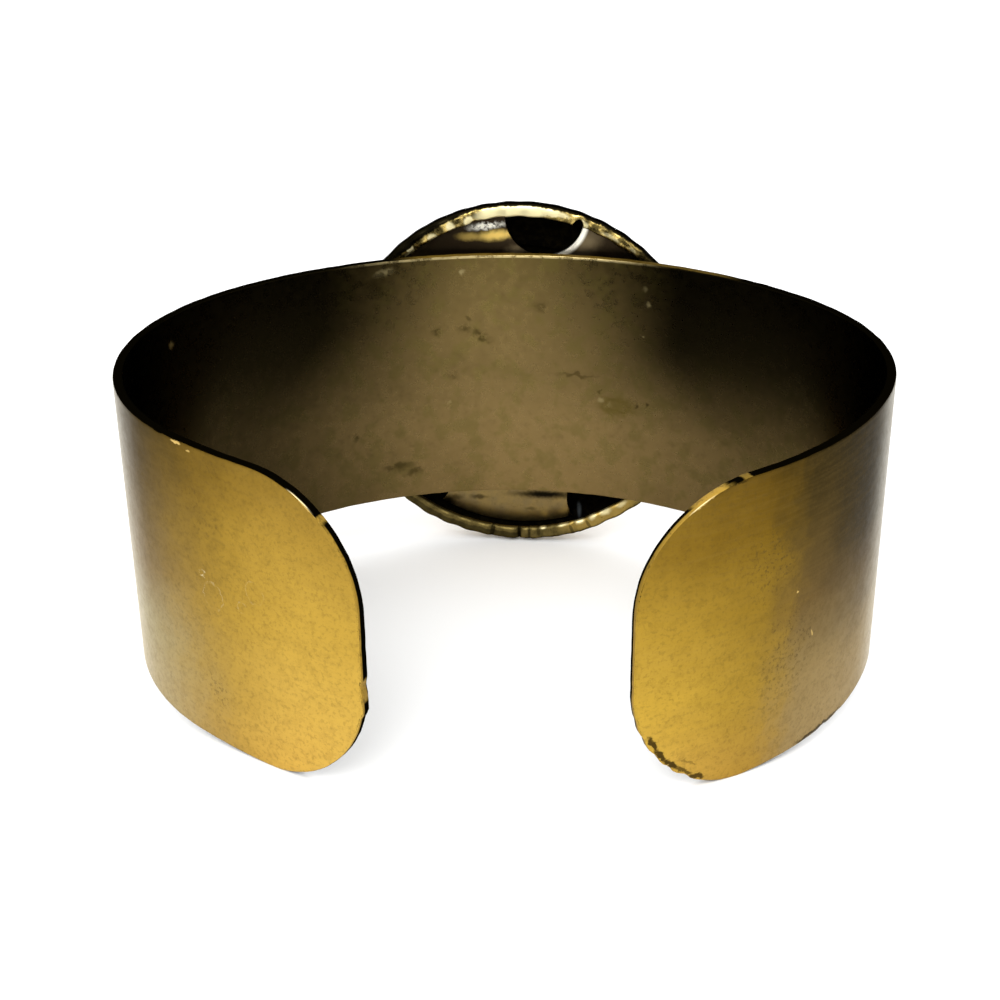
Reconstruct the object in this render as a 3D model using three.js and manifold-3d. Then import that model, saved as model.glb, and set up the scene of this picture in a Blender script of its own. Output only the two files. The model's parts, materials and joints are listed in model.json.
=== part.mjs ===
// Cuff bracelet with a round hollow ornament on its front
//
// A strip of sheet brass with rounded ends is bent by hand into an open oval that a wrist slips into.
// A pad of cement holds the ornament's back plate on the middle of the strip's outer face. The plate
// has five half-round notches in its edge, and it sits inside a stamped shell whose edge is turned over.
// The ornament is taller than the strip, so the cuff lies on the ornament's rim and on its two arms.
//
// Millimetres, +Z up. The opening between the arms faces -Y and the ornament faces +Y.

import * as THREE from "three";
import Module from "manifold-3d";
import { mergeVertices } from "three/addons/utils/BufferGeometryUtils.js";

// Strip of sheet brass
const BAND_HEIGHT = 25.4;
const BAND_THICKNESS = 0.8;
const END_CORNER_RADIUS = 9.5;

// Bends of the strip at the middle of the sheet. The front bends by FRONT_DEGREES each way from its
// middle. Each arm then has a side bend and an end bend, whose radii are shares of FRONT_RADIUS. The
// lift is how far the arm's end stands above the front, as a share of BAND_HEIGHT.
const FRONT_RADIUS = 34.4;
const FRONT_DEGREES = 48.8;
const ARMS = [
  { side: "left", sideShare: 0.703, sideDegrees: 93.0, endShare: 1.948, endDegrees: 14.7, lift: 0.004 },
  { side: "right", sideShare: 0.656, sideDegrees: 56.9, endShare: 0.904, endDegrees: 54.4, lift: -0.015 },
];

// Stamped shell of the ornament, and where its middle lies on the front of the band
const ORNAMENT_RADIUS = 18.3;
const ORNAMENT_X = -1.0;
const ORNAMENT_Z = -0.45;
const SHELL_WALL = 0.5;
const SHOULDER_INSET = 1.6;
const BORDER_WIDTH = 2.9;
const DOME_STEP = 0.4;
const DOME_RISE = 1.8;

// Turned-over edge of the shell, with the presses of the tool that closed it
const HEM_WIDTH = 1.2;
const HEM_DEPTH = 1.15;
const HEM_ROUNDING = 0.38;
const PRESS_PITCH = 2.4;
const PRESS_DEPTH = 0.14;
const PRESS_UNEVENNESS = 0.3;
const UNEVEN_WAVES = 5;

// Wear of the turned-over edge. Angles are in degrees clockwise from the top, seen from the wrist,
// reach is how far a flat runs each way in degrees, and depth and size are shares of HEM_WIDTH.
const FLATS_IN_RIM = [
  { angle: 178, reach: 34, depth: 0.26 },
  { angle: 147, reach: 10, depth: 0.12 },
];
const NICK_IN_HEM = { angle: 19.1, size: 0.42 };

// Back plate: a shallow lid with a skirt, set into the shell, with half-round notches
const PLATE_THICKNESS = 0.45;
const PLATE_DEPTH = 1.0;
const PLATE_RECESS = 1.95;
const PLATE_ROUNDING = 0.4;
const NOTCH_COUNT = 5;
const NOTCH_RADIUS = 3.9;
const FIRST_NOTCH_ANGLE = 7.8;

// Cement between the band and the plate
const PAD_THICKNESS = 0.4;
const PAD_WIDTH = 19;
const PAD_INSET_ABOVE = 1.6;
const PAD_OVERHANG_BELOW = 0.25;

// Space left between neighbouring pieces
const GAP = 0.3;

// Fineness of the faceting
const BAND_STEP = 2.2;
const CORNER_STEPS = 8;
const PLATE_SEGMENTS = 60;
const NOTCH_SEGMENTS = 28;
const NICK_SEGMENTS = 10;
const ARC_STEPS = 3;
const PAD_STEPS = 8;

// Places that follow from the sizes, measured forwards from the band's outer face at its middle
const plateBack = 2 * GAP + PAD_THICKNESS;
const plateFront = plateBack + PLATE_DEPTH;
const hemBack = plateBack - PLATE_RECESS;
const hemFront = hemBack + HEM_DEPTH;
const shellFront = plateFront + GAP + SHELL_WALL;
const shoulderRadius = ORNAMENT_RADIUS - SHOULDER_INSET;
const domeRadius = shoulderRadius - BORDER_WIDTH;
const shoulderSlope = Math.atan2(SHOULDER_INSET, shellFront - hemFront);
const shellWallAcross = SHELL_WALL / Math.cos(shoulderSlope);
const slopeAtPlate = Math.tan(shoulderSlope) * (plateFront - hemFront);
const plateRadius = ORNAMENT_RADIUS - slopeAtPlate - shellWallAcross - GAP / Math.cos(shoulderSlope);

const wasm = await Module();
wasm.setup();

function brass(color, roughness) {
  return new THREE.MeshStandardMaterial({ color, roughness, metalness: 0.95 });
}

function meshOf(name, geometry, material) {
  const mesh = new THREE.Mesh(geometry, material);
  mesh.name = name;
  return mesh;
}

// Skin over a row of rings that have equally many points, with a flat cap on each end ring
function loft(rings) {
  const sides = rings[0].length;
  const indices = [];
  for (let ring = 0; ring + 1 < rings.length; ring += 1) {
    for (let side = 0; side < sides; side += 1) {
      const next = (side + 1) % sides;
      const [a, b] = [ring * sides + side, ring * sides + next];
      indices.push(a, b, b + sides, a, b + sides, a + sides);
    }
  }
  const last = (rings.length - 1) * sides;
  for (let side = 1; side + 1 < sides; side += 1) {
    indices.push(0, side + 1, side, last, last + side, last + side + 1);
  }
  const geometry = new THREE.BufferGeometry().setFromPoints(rings.flat());
  geometry.setIndex(indices);
  return geometry;
}

const MERGE_DISTANCE = 1e-5;

function toSolid(geometry) {
  const bare = geometry.clone();
  bare.deleteAttribute("normal");
  bare.deleteAttribute("uv");
  const merged = mergeVertices(bare, MERGE_DISTANCE);
  return new wasm.Manifold(
    new wasm.Mesh({
      numProp: 3,
      vertProperties: new Float32Array(merged.attributes.position.array),
      triVerts: new Uint32Array(merged.index.array),
    }),
  );
}

function toGeometry(solid) {
  const { vertProperties, triVerts } = solid.getMesh();
  const geometry = new THREE.BufferGeometry();
  geometry.setAttribute("position", new THREE.BufferAttribute(vertProperties, 3));
  geometry.setIndex(new THREE.BufferAttribute(triVerts, 1));
  return geometry;
}

// Band
function bendsOf(arm) {
  return [
    { radius: FRONT_RADIUS, degrees: FRONT_DEGREES },
    { radius: FRONT_RADIUS * arm.sideShare, degrees: arm.sideDegrees },
    { radius: FRONT_RADIUS * arm.endShare, degrees: arm.endDegrees },
  ].map(({ radius, degrees }) => ({ radius, turn: THREE.MathUtils.degToRad(degrees) }));
}

function lengthOf(arm) {
  return bendsOf(arm).reduce((sum, bend) => sum + bend.radius * bend.turn, 0);
}

// Place on the middle of the sheet after walking a distance from the front, and the heading there
function placeOn(arm, distance) {
  const place = { across: 0, forward: -BAND_THICKNESS / 2, heading: 0 };
  let left = distance;
  for (const { radius, turn } of bendsOf(arm)) {
    const part = Math.min(left / radius, turn);
    const end = place.heading + part;
    place.across += radius * (Math.sin(end) - Math.sin(place.heading));
    place.forward += radius * (Math.cos(end) - Math.cos(place.heading));
    place.heading = end;
    left -= part * radius;
  }
  return place;
}

function halfHeightAt(arm, distance) {
  const over = Math.max(0, distance - (lengthOf(arm) - END_CORNER_RADIUS));
  return BAND_HEIGHT / 2 - END_CORNER_RADIUS + Math.sqrt(Math.max(0, END_CORNER_RADIUS ** 2 - over ** 2));
}

function bandSection(arm, distance) {
  const sign = arm.side === "left" ? -1 : 1;
  const { across, forward, heading } = placeOn(arm, distance);
  const half = halfHeightAt(arm, distance);
  const lift = arm.lift * BAND_HEIGHT * (distance / lengthOf(arm)) ** 2;
  const corner = (offset, z) =>
    new THREE.Vector3(
      sign * (across + offset * Math.sin(heading)),
      forward + offset * Math.cos(heading),
      z + lift,
    );
  const [outside, inside] = [BAND_THICKNESS / 2, -BAND_THICKNESS / 2];
  return [corner(outside, -half), corner(outside, half), corner(inside, half), corner(inside, -half)];
}

// Distances of the sections along one arm: even steps, then closer ones round the end's corners
function sectionDistances(arm) {
  const straight = lengthOf(arm) - END_CORNER_RADIUS;
  const steps = Math.ceil(straight / BAND_STEP);
  const even = Array.from({ length: steps }, (_, step) => (straight * (step + 1)) / steps);
  const corner = Array.from(
    { length: CORNER_STEPS },
    (_, step) => straight + END_CORNER_RADIUS * Math.sin(((step + 1) / CORNER_STEPS) * (Math.PI / 2)),
  );
  return [...even, ...corner];
}

function bandGeometry() {
  const [left, right] = ARMS;
  const leftSections = sectionDistances(left).map((distance) => bandSection(left, distance));
  const rightSections = sectionDistances(right).map((distance) => bandSection(right, distance));
  return loft([...leftSections.reverse(), bandSection(right, 0), ...rightSections]);
}

// Ornament. Its pieces are turned round the Y axis, and a profile point is a radius and a place on Y.
function arc(radius, forward, size, from, to) {
  return Array.from({ length: ARC_STEPS + 1 }, (_, step) => {
    const angle = THREE.MathUtils.degToRad(from + ((to - from) * step) / ARC_STEPS);
    return new THREE.Vector2(radius + size * Math.cos(angle), forward + size * Math.sin(angle));
  });
}

function domeLine(radius, forward) {
  return Array.from({ length: ARC_STEPS + 1 }, (_, step) => {
    const share = step / ARC_STEPS;
    return new THREE.Vector2(radius * share, forward + DOME_RISE * (1 - share * share));
  });
}

// Profile of the shell, from the dome's middle over the front, round the hem and back inside
function shellProfile() {
  const shoulderInside = shoulderRadius - shellWallAcross + Math.tan(shoulderSlope) * SHELL_WALL;
  const outer = ORNAMENT_RADIUS - HEM_ROUNDING;
  const inner = ORNAMENT_RADIUS - HEM_WIDTH + HEM_ROUNDING;
  const hemCentre = hemBack + HEM_ROUNDING;
  return [
    ...domeLine(domeRadius, shellFront + DOME_STEP),
    new THREE.Vector2(domeRadius, shellFront),
    new THREE.Vector2(shoulderRadius, shellFront),
    new THREE.Vector2(ORNAMENT_RADIUS, hemFront),
    ...arc(outer, hemCentre, HEM_ROUNDING, 0, -90),
    ...arc(inner, hemCentre, HEM_ROUNDING, -90, -180),
    new THREE.Vector2(ORNAMENT_RADIUS - HEM_WIDTH, hemFront - HEM_ROUNDING),
    new THREE.Vector2(ORNAMENT_RADIUS - shellWallAcross, hemFront),
    new THREE.Vector2(shoulderInside, shellFront - SHELL_WALL),
    new THREE.Vector2(domeRadius - SHELL_WALL, shellFront - SHELL_WALL),
    ...domeLine(domeRadius - SHELL_WALL, shellFront + DOME_STEP - SHELL_WALL).reverse(),
  ];
}

// A turn of the profile. A closed profile whose points run clockwise faces inwards, so it is reversed.
function turned(profile, segments) {
  return new THREE.LatheGeometry([...profile].reverse(), segments);
}

// Clockwise angle from the top, seen from the wrist, as a direction in the ornament's own plane
function onFace(angle, radius) {
  const radians = THREE.MathUtils.degToRad(angle);
  return { x: radius * Math.sin(radians), z: radius * Math.cos(radians) };
}

function degreesApart(a, b) {
  return Math.abs(THREE.MathUtils.euclideanModulo(a - b + 180, 360) - 180);
}

function flatAt(angle) {
  const depths = FLATS_IN_RIM.map((flat) => {
    const apart = degreesApart(THREE.MathUtils.radToDeg(angle), flat.angle) / flat.reach;
    return flat.depth * HEM_WIDTH * Math.max(0, 1 - apart * apart);
  });
  return depths.reduce((sum, depth) => sum + depth, 0);
}

// Presses move the skin of the hem forwards and towards its middle, and a flat moves all of it inwards
function pressHem(geometry, count) {
  const position = geometry.attributes.position;
  const point = new THREE.Vector3();
  for (let index = 0; index < position.count; index += 1) {
    point.fromBufferAttribute(position, index);
    const radius = Math.hypot(point.x, point.z);
    if (point.y > hemFront || radius < ORNAMENT_RADIUS - HEM_WIDTH - GAP) continue;
    const angle = Math.atan2(point.x, point.z);
    const strength = 1 - PRESS_UNEVENNESS * (1 + Math.sin(UNEVEN_WAVES * angle)) * 0.5;
    const press = PRESS_DEPTH * strength * (0.5 - 0.5 * Math.cos(count * angle));
    const outward = (radius - (ORNAMENT_RADIUS - HEM_WIDTH / 2)) / (HEM_WIDTH / 2);
    const newRadius = radius - (press / 2) * outward - flatAt(angle);
    const backness = (hemFront - point.y) / HEM_DEPTH;
    point.set((point.x * newRadius) / radius, point.y + press * backness, (point.z * newRadius) / radius);
    position.setXYZ(index, point.x, point.y, point.z);
  }
  return geometry;
}

function cutter(angle, radius, size, sides) {
  const geometry = new THREE.CylinderGeometry(size, size, 2 * (shellFront - hemBack), sides);
  const { x, z } = onFace(angle, radius);
  return geometry.translate(x, 0, z);
}

function shellGeometry() {
  const count = Math.round((2 * Math.PI * ORNAMENT_RADIUS) / PRESS_PITCH);
  const shell = toSolid(pressHem(turned(shellProfile(), 2 * count), count));
  const size = NICK_IN_HEM.size * HEM_WIDTH;
  const nick = cutter(NICK_IN_HEM.angle, ORNAMENT_RADIUS - HEM_WIDTH, size, NICK_SEGMENTS);
  nick.translate(0, hemFront - (shellFront - hemBack), 0);
  return toGeometry(shell.subtract(toSolid(nick)));
}

function plateProfile() {
  const inner = PLATE_ROUNDING - PLATE_THICKNESS / 2;
  const [rounding, innerRounding] = [plateRadius - PLATE_ROUNDING, plateRadius - PLATE_THICKNESS - inner];
  return [
    new THREE.Vector2(0, plateBack + PLATE_THICKNESS),
    ...arc(innerRounding, plateBack + PLATE_THICKNESS + inner, inner, -90, 0),
    new THREE.Vector2(plateRadius - PLATE_THICKNESS, plateFront),
    new THREE.Vector2(plateRadius, plateFront),
    ...arc(rounding, plateBack + PLATE_ROUNDING, PLATE_ROUNDING, 0, -90),
    new THREE.Vector2(0, plateBack),
  ];
}

function plateGeometry() {
  let plate = toSolid(turned(plateProfile(), PLATE_SEGMENTS));
  for (let notch = 0; notch < NOTCH_COUNT; notch += 1) {
    const angle = FIRST_NOTCH_ANGLE + (notch * 360) / NOTCH_COUNT;
    plate = plate.subtract(toSolid(cutter(angle, plateRadius, NOTCH_RADIUS, NOTCH_SEGMENTS)));
  }
  return toGeometry(plate);
}

// The pad fills what is between the band's curved face and the plate's flat one
function padGeometry() {
  const rings = Array.from({ length: PAD_STEPS + 1 }, (_, step) => {
    const x = (step / PAD_STEPS - 0.5) * PAD_WIDTH;
    const outerRadius = FRONT_RADIUS + BAND_THICKNESS / 2;
    const back = GAP - (outerRadius - Math.sqrt(outerRadius ** 2 - x ** 2));
    const front = plateBack - GAP;
    const top = BAND_HEIGHT / 2 - PAD_INSET_ABOVE;
    const bottom = -BAND_HEIGHT / 2 - PAD_OVERHANG_BELOW;
    return [
      new THREE.Vector3(x, front, bottom),
      new THREE.Vector3(x, front, top),
      new THREE.Vector3(x, back, top),
      new THREE.Vector3(x, back, bottom),
    ];
  });
  return loft(rings);
}

// The three lowest points, one of the front and one of each arm, carry the cuff where it lies
function restingTurn(points, middle) {
  const regions = [
    (point) => point.y > middle,
    (point) => point.y < middle && point.x < 0,
    (point) => point.y < middle && point.x > 0,
  ];
  const up = new THREE.Vector3(0, 0, 1);
  const turn = new THREE.Quaternion();
  for (let round = 0; round < 6; round += 1) {
    const down = up.clone().applyQuaternion(turn.clone().invert());
    const feet = regions.map((isIn) =>
      points.filter(isIn).reduce((low, point) => (point.dot(down) < low.dot(down) ? point : low)),
    );
    const normal = feet[1].clone().sub(feet[0]).cross(feet[2].clone().sub(feet[0])).normalize();
    turn.setFromUnitVectors(normal, up);
  }
  return turn;
}

function cornersOf(group) {
  const points = [];
  group.updateMatrixWorld(true);
  group.traverse((object) => {
    if (!object.isMesh) return;
    const position = object.geometry.attributes.position;
    for (let index = 0; index < position.count; index += 1) {
      points.push(new THREE.Vector3().fromBufferAttribute(position, index).applyMatrix4(object.matrixWorld));
    }
  });
  return points;
}

const band = meshOf("cuff_band", bandGeometry(), brass(0xa08a55, 0.42));
const cement = new THREE.MeshStandardMaterial({ color: 0x5d5433, roughness: 0.7 });
const pad = meshOf("cement_pad", padGeometry(), cement);
const plate = meshOf("back_plate", plateGeometry(), brass(0x9a8250, 0.22));
const shell = meshOf("ornament_shell", shellGeometry(), brass(0xb89c55, 0.26));

const ornament = new THREE.Group();
ornament.position.set(ORNAMENT_X, 0, ORNAMENT_Z);
ornament.add(plate, shell);

const cuff = new THREE.Group();
cuff.add(band, pad, ornament);

// The cuff is laid on its feet, and the origin goes under the middle of its box
const corners = cornersOf(cuff);
const box = new THREE.Box3().setFromPoints(corners);
const turn = restingTurn(corners, box.getCenter(new THREE.Vector3()).y);
const resting = new THREE.Box3().setFromPoints(corners.map((point) => point.applyQuaternion(turn)));
const middle = resting.getCenter(new THREE.Vector3());
cuff.quaternion.copy(turn);
cuff.position.set(-middle.x, -middle.y, -resting.min.z);

export default cuff;
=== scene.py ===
# %% [markdown]
# # A brass cuff bracelet, seen from its open side
#
# The real object is a strip of sheet brass, cut, rounded at its ends and bent by hand round a
# wrist shape. A round hollow ornament is cemented to the middle of its outer face. In this
# lesson each of its four pieces is made as a metal worker would make it: the strip starts as a
# flat blank, and the ornament's two shells are turned from a profile.

import json
import math
from math import cos, hypot, radians, sin, sqrt, tan

import bmesh
import bpy
from mathutils import Matrix, Vector, noise


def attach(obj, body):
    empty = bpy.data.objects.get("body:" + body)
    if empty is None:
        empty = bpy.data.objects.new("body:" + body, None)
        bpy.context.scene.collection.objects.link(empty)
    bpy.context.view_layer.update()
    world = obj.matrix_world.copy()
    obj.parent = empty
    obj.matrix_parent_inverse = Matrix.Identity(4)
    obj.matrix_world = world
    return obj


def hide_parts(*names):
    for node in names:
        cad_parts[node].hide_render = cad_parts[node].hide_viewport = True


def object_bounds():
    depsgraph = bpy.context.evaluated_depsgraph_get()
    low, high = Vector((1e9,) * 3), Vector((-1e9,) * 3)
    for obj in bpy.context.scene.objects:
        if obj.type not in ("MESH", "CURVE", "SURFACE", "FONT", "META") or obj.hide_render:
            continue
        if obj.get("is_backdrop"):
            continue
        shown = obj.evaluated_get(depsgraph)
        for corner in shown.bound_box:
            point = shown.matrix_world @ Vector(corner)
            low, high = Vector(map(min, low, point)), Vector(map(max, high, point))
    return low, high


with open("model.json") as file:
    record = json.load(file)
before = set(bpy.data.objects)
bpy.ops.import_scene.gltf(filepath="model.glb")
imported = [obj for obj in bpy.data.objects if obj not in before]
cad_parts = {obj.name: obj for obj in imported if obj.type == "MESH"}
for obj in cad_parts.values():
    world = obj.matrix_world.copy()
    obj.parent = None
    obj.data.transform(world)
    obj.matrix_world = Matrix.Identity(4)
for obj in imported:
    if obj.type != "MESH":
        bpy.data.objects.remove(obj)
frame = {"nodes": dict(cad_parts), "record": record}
cad_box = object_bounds()
MM = 0.001
scene = bpy.context.scene
print("CAD nodes:", ", ".join(sorted(frame["nodes"])))

# %% [markdown]
# ## The camera
#
# The object was photographed from a little above its open side with a short telephoto lens. A
# camera can be aimed by eye, but here its place and its aim were worked out from the outline of
# the cuff, so they are given as numbers.

# %% Camera
CAMERA_PLACE = Vector((11.553, -137.718, 61.646)) * MM
CAMERA_AIM = Vector((-0.07911, 0.94315, -0.32282))
CAMERA_ROLL = radians(0.422)
FOCAL_LENGTH = 59.98
SENSOR_WIDTH = 36.0
SHIFT_RIGHT = -0.00722
SHIFT_UP = -0.00701
NEAREST_SEEN = 10 * MM


def add_object(name, data):
    made = bpy.data.objects.new(name, data)
    scene.collection.objects.link(made)
    return made


camera_data = bpy.data.cameras.new("camera")
camera_data.lens = FOCAL_LENGTH
camera_data.sensor_width = SENSOR_WIDTH
camera_data.shift_x = SHIFT_RIGHT
camera_data.shift_y = SHIFT_UP
camera_data.clip_start = NEAREST_SEEN
camera = add_object("camera", camera_data)
turn = CAMERA_AIM.to_track_quat("-Z", "Y").to_matrix() @ Matrix.Rotation(CAMERA_ROLL, 3, "Z")
camera.matrix_world = Matrix.Translation(CAMERA_PLACE) @ turn.to_4x4()
scene.camera = camera
print("camera height above the floor, mm:", round(CAMERA_PLACE.z / MM, 1))

# %% [markdown]
# ## Helpers that every piece uses
#
# Each piece is shaped in a bmesh, which is Blender's mesh while it is being edited. When it is
# done it becomes an object that sits at the origin, with its place in its mesh, rides on the
# frame's one body and stands for its CAD node.

# %% From a bmesh to a finished piece
SHARP_ANGLE = radians(40)


def to_object(bm, name):
    mesh = bpy.data.meshes.new(name)
    bm.to_mesh(mesh)
    bm.free()
    return add_object(name, mesh)


def finish_piece(bm, name, node, finishes):
    piece = to_object(bm, name)
    mesh = piece.data
    for finish in finishes:
        mesh.materials.append(finish)
    mesh.shade_smooth()
    mesh.set_sharp_from_angle(angle=SHARP_ANGLE)
    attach(piece, "root")
    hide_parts(node)
    size = [round(side / MM, 2) for side in piece.dimensions]
    print(f"{name}: {len(mesh.polygons)} faces, {size} mm")


# %% [markdown]
# ## How a finish is written
#
# A finish is a material made of nodes. Spelling every node out takes many lines, so a small
# class holds the material and gives one short name to each step of a recipe: read a coordinate,
# stretch it, take noise from it, turn a number into a share from 0 to 1, and mix two colours by
# that share.

# %% The recipe class for finishes
def rgb(red, green, blue):
    """A colour as a colour picker shows it, 0 to 255, in the linear values that shaders use."""
    shares = [value / 255 for value in (red, green, blue)]
    linear = [s / 12.92 if s <= 0.04045 else ((s + 0.055) / 1.055) ** 2.4 for s in shares]
    return (*linear, 1.0)


class Finish:
    def __init__(self, name, metallic, roughness):
        self.base = None
        self.material = bpy.data.materials.new(name)
        self.material.use_nodes = True
        self.tree = self.material.node_tree
        self.shader = self.tree.nodes["Principled BSDF"]
        self.shader.inputs["Metallic"].default_value = metallic
        self.shader.inputs["Roughness"].default_value = roughness

    def put(self, socket, value):
        if isinstance(value, bpy.types.NodeSocket):
            self.tree.links.new(value, socket)
        else:
            socket.default_value = value

    def node(self, kind, sockets, **settings):
        made = self.tree.nodes.new("ShaderNode" + kind)
        for name, value in settings.items():
            setattr(made, name, value)
        for key, value in sockets.items():
            self.put(made.inputs[key], value)
        return made

    def place(self, attribute):
        return self.node("Attribute", {}, attribute_name=attribute).outputs["Vector"]

    def vector(self, operation, first, second, result="Vector"):
        made = self.node("VectorMath", {0: first, 1: second}, operation=operation)
        return made.outputs[result]

    def stretch(self, where, factors):
        return self.vector("MULTIPLY", where, factors)

    def distance(self, first, second=(0.0, 0.0, 0.0)):
        return self.vector("DISTANCE", first, second, "Value")

    def noise(self, where, scale, detail=3.0, roughness=0.55):
        sockets = {"Vector": where, "Scale": scale, "Detail": detail, "Roughness": roughness}
        return self.node("TexNoise", sockets).outputs["Fac"]

    def calc(self, operation, first, second=0.0):
        return self.node("Math", {0: first, 1: second}, operation=operation).outputs["Value"]

    def times(self, first, second):
        return self.calc("MULTIPLY", first, second)

    def most(self, first, second):
        return self.calc("MAXIMUM", first, second)

    def share(self, value, start, end, low=0.0, high=1.0):
        sockets = {"Value": value, "From Min": start, "From Max": end}
        sockets.update({"To Min": low, "To Max": high})
        return self.node("MapRange", sockets, interpolation_type="SMOOTHSTEP").outputs["Result"]

    def mix(self, share, first, second, blend="MIX"):
        settings = {"data_type": "RGBA", "blend_type": blend}
        return self.node("Mix", {0: share, 6: first, 7: second}, **settings).outputs[2]

    def layer(self, share, over):
        self.base = self.mix(share, self.base, over)

    def levels(self, value, stops):
        """A colour that changes with a share from 0 to 1, through colours given at some shares."""
        ramp = self.node("ValToRGB", {"Fac": value})
        elements = ramp.color_ramp.elements
        while len(elements) < len(stops):
            elements.new(0.5)
        for element, (position, *shade) in zip(elements, stops):
            element.position = position
            element.color = rgb(*shade)
        return ramp.outputs["Color"]

    def part(self, where, axis):
        return self.node("SeparateXYZ", {0: where}).outputs[axis]

    def spot(self, where, centre, size, turn=0.0, soft=0.45):
        """A share that is 1 inside an oval on the surface and fades to 0 at its rim."""
        sockets = {
            "Vector": where,
            "Location": (*centre, 0.0),
            "Rotation": (0.0, 0.0, radians(turn)),
            "Scale": (*size, 1000.0),
        }
        inside = self.node("Mapping", sockets, vector_type="TEXTURE").outputs["Vector"]
        return self.share(self.distance(inside), 1.0, 1.0 - soft)

    def spots(self, where, rows, soft=0.45):
        """The strongest of many spots. A row is (centre, size, strength) or ends with a turn."""
        total = 0.0
        for centre, size, strength, *turn in rows:
            spot = self.spot(where, centre, size, turn[0] if turn else 0.0, soft)
            total = self.most(total, self.times(spot, strength))
        return total

    def loops(self, where, rows, width):
        """Thin rings drawn on the surface. A row is (centre, radius, strength)."""
        total = 0.0
        flattened = self.stretch(where, (1.0, 1.0, 0.0))
        for centre, radius, strength in rows:
            away = self.calc("SUBTRACT", self.distance(flattened, (*centre, 0.0)), radius)
            line = self.share(self.calc("ABSOLUTE", away), width, 0.3 * width, 0.0, strength)
            total = self.most(total, line)
        return total

    def wobble(self, where, scale, amount):
        """The place, pushed about by noise, so that what is drawn with it gets ragged rims."""
        sockets = {"Vector": where, "Scale": scale, "Detail": 3.0, "Roughness": 0.6}
        cloud = self.node("TexNoise", sockets).outputs["Color"]
        push = self.vector("SUBTRACT", cloud, (0.5, 0.5, 0.5))
        return self.vector("ADD", where, self.stretch(push, (amount, amount, 0.0)))

    def bump(self, height, distance, strength=1.0):
        made = self.node("Bump", {"Height": height, "Distance": distance, "Strength": strength})
        self.put(self.shader.inputs["Normal"], made.outputs["Normal"])

    def tint_edges(self, amount):
        """Keeps some of the metal's own colour where it is seen along its surface."""
        tint = self.mix(amount, (1.0, 1.0, 1.0, 1.0), self.base)
        self.put(self.shader.inputs["Specular Tint"], tint)

    def done(self, roughness=None, metallic=None):
        self.put(self.shader.inputs["Base Color"], self.base)
        if roughness is not None:
            self.put(self.shader.inputs["Roughness"], roughness)
        if metallic is not None:
            self.put(self.shader.inputs["Metallic"], metallic)
        print("finish", self.material.name, "has", len(self.tree.nodes), "nodes")
        return self.material


# %% [markdown]
# ## Where the cuff lies
#
# The pieces are easiest to make upright: the strip's height along Z, its outer face at the
# ornament towards +Y, and the origin in the middle of that face. The finished cuff leans a
# little, because the ornament is taller than the strip. The record's mount for the wrist says
# which way is up for the strip, and where a known point of it is.

# %% Lay a piece down as the cuff lies
WRIST_POINT = Vector((0.0, -28.0, 0.0)) * MM

wrist = next(mount for mount in frame["record"]["mounts"] if mount["name"] == "wrist")
lean = Vector((0, 0, 1)).rotation_difference(Vector(wrist["axis"]))
shift = Vector(wrist["pos_m"]) - lean @ WRIST_POINT
LAID_DOWN = Matrix.Translation(shift) @ lean.to_matrix().to_4x4()


def lay_down(bm):
    """Turns an upright piece from millimetres into metres and lays it down."""
    bmesh.ops.scale(bm, vec=(MM, MM, MM), verts=bm.verts[:])
    bmesh.ops.transform(bm, matrix=LAID_DOWN, verts=bm.verts[:])


print("the cuff leans by", round(math.degrees(lean.angle), 2), "degrees")

# %% [markdown]
# ## The band: a flat blank
#
# The band was cut from a strip of sheet brass one inch high, and its four corners were rounded.
# The same is done here: a ruled grid is drawn out to the strip's length, and its last columns
# are made shorter so that they follow the round corners. The grid is finer near the rims, where
# it has to carry small nicks. A plain box bent with a modifier would be quicker, but its ends
# would be square.

# %% Sizes of the strip
BAND_HEIGHT = 25.4
BAND_THICKNESS = 0.8
END_RADIUS = 9.5
FRONT_RADIUS = 34.4
BENDS = {
    -1: {"radii": (1.0, 0.703, 1.948), "degrees": (48.8, 93.0, 14.7), "lift": 0.004},
    1: {"radii": (1.0, 0.656, 0.904), "degrees": (48.8, 56.9, 54.4), "lift": -0.015},
}
for arm in BENDS.values():
    radii = [FRONT_RADIUS * share for share in arm["radii"]]
    arm["bends"] = list(zip(radii, map(radians, arm["degrees"])))
    arm["length"] = sum(radius * turn for radius, turn in arm["bends"])
print("arm lengths, mm:", [round(arm["length"], 2) for arm in BENDS.values()])

# %% Draw the blank from a grid
BLANK_COLUMNS = 400
BLANK_ROWS = 24
CORNER_SHARE = 0.2
RIM_ROW = 0.3


def half_height(side, distance):
    over = max(0.0, distance - (BENDS[side]["length"] - END_RADIUS))
    straight = BAND_HEIGHT / 2 - END_RADIUS
    return straight + sqrt(max(0.0, END_RADIUS**2 - over**2))


def blank_distance(side, share):
    """Distance from the middle for a share of an arm, with its last columns close together."""
    straight = BENDS[side]["length"] - END_RADIUS
    if share <= 1 - CORNER_SHARE:
        return straight * share / (1 - CORNER_SHARE)
    turn = (share - (1 - CORNER_SHARE)) / CORNER_SHARE * math.pi / 2
    return straight + END_RADIUS * sin(turn)


def blank_height(half, share):
    """Height for a share of half the strip, with the outermost row close to the rim."""
    rows = BLANK_ROWS // 2
    last = (rows - 1) / rows
    if abs(share) > last + 1e-6:
        return math.copysign(half, share)
    return share / last * (half - RIM_ROW)


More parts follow.
